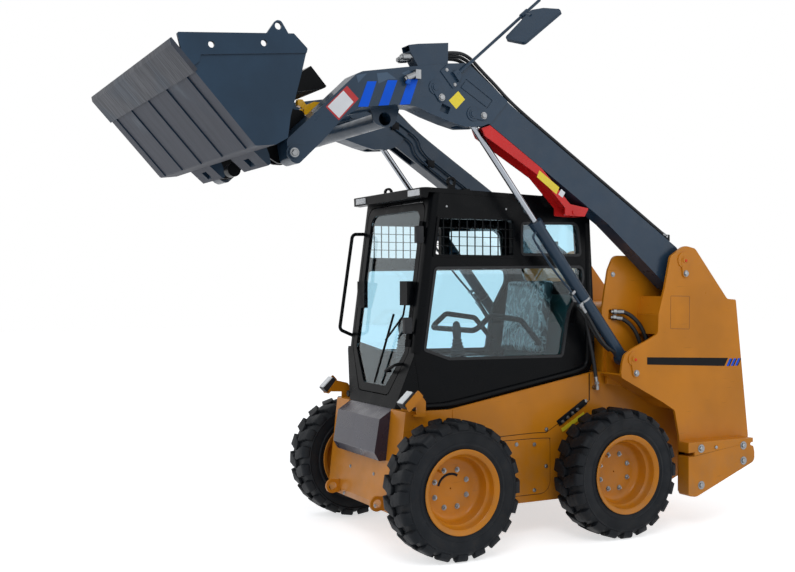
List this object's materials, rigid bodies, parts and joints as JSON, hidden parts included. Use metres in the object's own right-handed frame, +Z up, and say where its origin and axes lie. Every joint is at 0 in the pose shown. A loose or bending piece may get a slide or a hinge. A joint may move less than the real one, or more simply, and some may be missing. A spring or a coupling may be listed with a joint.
{
  "type": "skid steer loader",
  "caption": "Compact wheeled loader with raised lift arms, a bucket on a quick coupler, an open-sided cab with a front door, and hydraulic lift and tilt cylinders.",
  "frame": {"origin": "bottom centre of the whole machine's box, on the ground", "axes": "+X the machine's left, -Y its front, +Z up"},
  "size_m": [1.744, 3.8822, 3.1797],
  "materials": {
    "yellow_paint": "orange-yellow gloss paint, dusty",
    "arm_paint": "dark blue-grey gloss paint",
    "black_paint": "satin black paint",
    "red_paint": "red gloss paint",
    "worn_steel": "bare worn steel",
    "rod_chrome": "polished",
    "cast_engine": "painted dark",
    "tyre": "moulded rubber, dusty",
    "glass": "clear, faint green tint",
    "lens": "clear moulded lens",
    "amber": "clear amber",
    "seat_cloth": "dark coated cloth",
    "dark_plastic": "moulded, matt",
    "plated_steel": "plated"
  },
  "bodies": {
    "wheel_front_left": {"tyre_front_left": "tyre", "rim_front_left": "yellow_paint"},
    "wheel_front_right": {"tyre_front_right": "tyre", "rim_front_right": "yellow_paint"},
    "wheel_rear_left": {"tyre_rear_left": "tyre", "rim_rear_left": "yellow_paint"},
    "wheel_rear_right": {"tyre_rear_right": "tyre", "rim_rear_right": "yellow_paint"},
    "machine": {"chassis_frame": "yellow_paint", "front_cover": "black_paint", "axle_housings": "black_paint", "engine_block": "cast_engine", "tower_left": "yellow_paint", "tower_right": "yellow_paint", "counterweights": "yellow_paint", "engine_hood": "yellow_paint", "cab_roof": "black_paint", "beacon": "amber", "cab_frame": "black_paint", "cab_glass": "glass", "window_guards": "black_paint", "cab_floor": "black_paint", "seat_cushion": "seat_cloth", "seat_back": "seat_cloth", "side_consoles": "dark_plastic", "rear_panel": "dark_plastic", "control_levers": "dark_plastic", "lamps": "dark_plastic", "lamp_lenses": "lens", "lamp_brackets": "yellow_paint", "lap_bar": "dark_plastic", "grab_rail": "black_paint"},
    "tailgate": {"tailgate": "yellow_paint", "tail_lamps": "amber"},
    "lift_arm": {"arm_left": "arm_paint", "arm_right": "arm_paint", "arm_cross_tube": "arm_paint", "arm_lock_bar": "red_paint", "mirror_stalk": "arm_paint", "mirror_head": "dark_plastic", "outlet_box": "arm_paint", "quick_couplers": "plated_steel"},
    "lift_barrel_left": {"lift_barrel_left": "arm_paint"},
    "lift_barrel_right": {"lift_barrel_right": "arm_paint"},
    "lift_rod_left": {"lift_rod_left": "rod_chrome"},
    "lift_rod_right": {"lift_rod_right": "rod_chrome"},
    "tilt_barrel_left": {"tilt_barrel_left": "arm_paint"},
    "tilt_barrel_right": {"tilt_barrel_right": "arm_paint"},
    "tilt_rod_left": {"tilt_rod_left": "rod_chrome"},
    "tilt_rod_right": {"tilt_rod_right": "rod_chrome"},
    "bucket": {"coupler_frame": "black_paint", "coupler_levers": "yellow_paint", "cutting_edge": "worn_steel", "bucket_shell": "arm_paint"},
    "front_door": {"door_frame": "black_paint", "door_glass": "glass", "door_handles": "black_paint", "wiper": "black_paint"}
  },
  "joints": [
    {"name": "lift", "type": "hinge", "parent": "machine", "child": "lift_arm", "pos_m": [0, 1.38693, 1.66989], "axis": [-1, 0, 0], "range_deg": [-44, 21]},
    {"name": "tilt", "type": "hinge", "parent": "lift_arm", "child": "bucket", "pos_m": [0, -1.22807, 2.19989], "axis": [1, 0, 0], "range_deg": [-26, 111]},
    {"name": "lift_barrel_left", "type": "hinge", "parent": "machine", "child": "lift_barrel_left", "pos_m": [0.57, 0.98193, 1.06289], "axis": [-1, 0, 0], "range_deg": [-41.81, 19.96]},
    {"name": "lift_rod_left", "type": "slide", "parent": "lift_barrel_left", "child": "lift_rod_left", "axis": [0, -0.6218, 0.7832], "range_m": [-0.5281, 0.2521]},
    {"name": "tilt_barrel_left", "type": "hinge", "parent": "lift_arm", "child": "tilt_barrel_left", "pos_m": [0.45, -0.38807, 2.60888], "axis": [1, 0, 0], "range_deg": [-0.27, 1.12]},
    {"name": "tilt_rod_left", "type": "slide", "parent": "tilt_barrel_left", "child": "tilt_rod_left", "axis": [0, -0.9631, -0.2693], "range_m": [-0.0742, 0.3165]},
    {"name": "wheel_front_left", "type": "hinge", "parent": "machine", "child": "wheel_front_left", "pos_m": [0.673, -0.30207, 0.38638], "axis": [1, 0, 0], "continuous": true},
    {"name": "wheel_rear_left", "type": "hinge", "parent": "machine", "child": "wheel_rear_left", "pos_m": [0.673, 0.84393, 0.38638], "axis": [1, 0, 0], "continuous": true},
    {"name": "lift_barrel_right", "type": "hinge", "parent": "machine", "child": "lift_barrel_right", "pos_m": [-0.57, 0.98193, 1.06289], "axis": [-1, 0, 0], "range_deg": [-41.81, 19.96]},
    {"name": "lift_rod_right", "type": "slide", "parent": "lift_barrel_right", "child": "lift_rod_right", "axis": [0, -0.6218, 0.7832], "range_m": [-0.5281, 0.2521]},
    {"name": "tilt_barrel_right", "type": "hinge", "parent": "lift_arm", "child": "tilt_barrel_right", "pos_m": [-0.45, -0.38807, 2.60888], "axis": [1, 0, 0], "range_deg": [-0.27, 1.12]},
    {"name": "tilt_rod_right", "type": "slide", "parent": "tilt_barrel_right", "child": "tilt_rod_right", "axis": [0, -0.9631, -0.2693], "range_m": [-0.0742, 0.3165]},
    {"name": "wheel_front_right", "type": "hinge", "parent": "machine", "child": "wheel_front_right", "pos_m": [-0.673, -0.30207, 0.38638], "axis": [1, 0, 0], "continuous": true},
    {"name": "wheel_rear_right", "type": "hinge", "parent": "machine", "child": "wheel_rear_right", "pos_m": [-0.673, 0.84393, 0.38638], "axis": [1, 0, 0], "continuous": true},
    {"name": "front_door", "type": "hinge", "parent": "machine", "child": "front_door", "pos_m": [0.371, -0.42907, 1.12688], "axis": [0, 0.1343, 0.9909], "range_deg": [0, 90]},
    {"name": "tailgate", "type": "hinge", "parent": "machine", "child": "tailgate", "pos_m": [0.446, 1.93193, 0.63889], "axis": [0, 0.0952, -0.9955], "range_deg": [0, 90]}
  ],
  "couplings": [
    {"joint": "lift_barrel_left", "follows": "lift", "ratio": 0.95},
    {"joint": "lift_rod_left", "follows": "lift", "m_per_rad": 0.6875},
    {"joint": "tilt_barrel_left", "follows": "tilt", "ratio": 0.01},
    {"joint": "tilt_rod_left", "follows": "tilt", "m_per_rad": 0.1633},
    {"joint": "lift_barrel_right", "follows": "lift", "ratio": 0.95},
    {"joint": "lift_rod_right", "follows": "lift", "m_per_rad": 0.6875},
    {"joint": "tilt_barrel_right", "follows": "tilt", "ratio": 0.01},
    {"joint": "tilt_rod_right", "follows": "tilt", "m_per_rad": 0.1633}
  ]
}
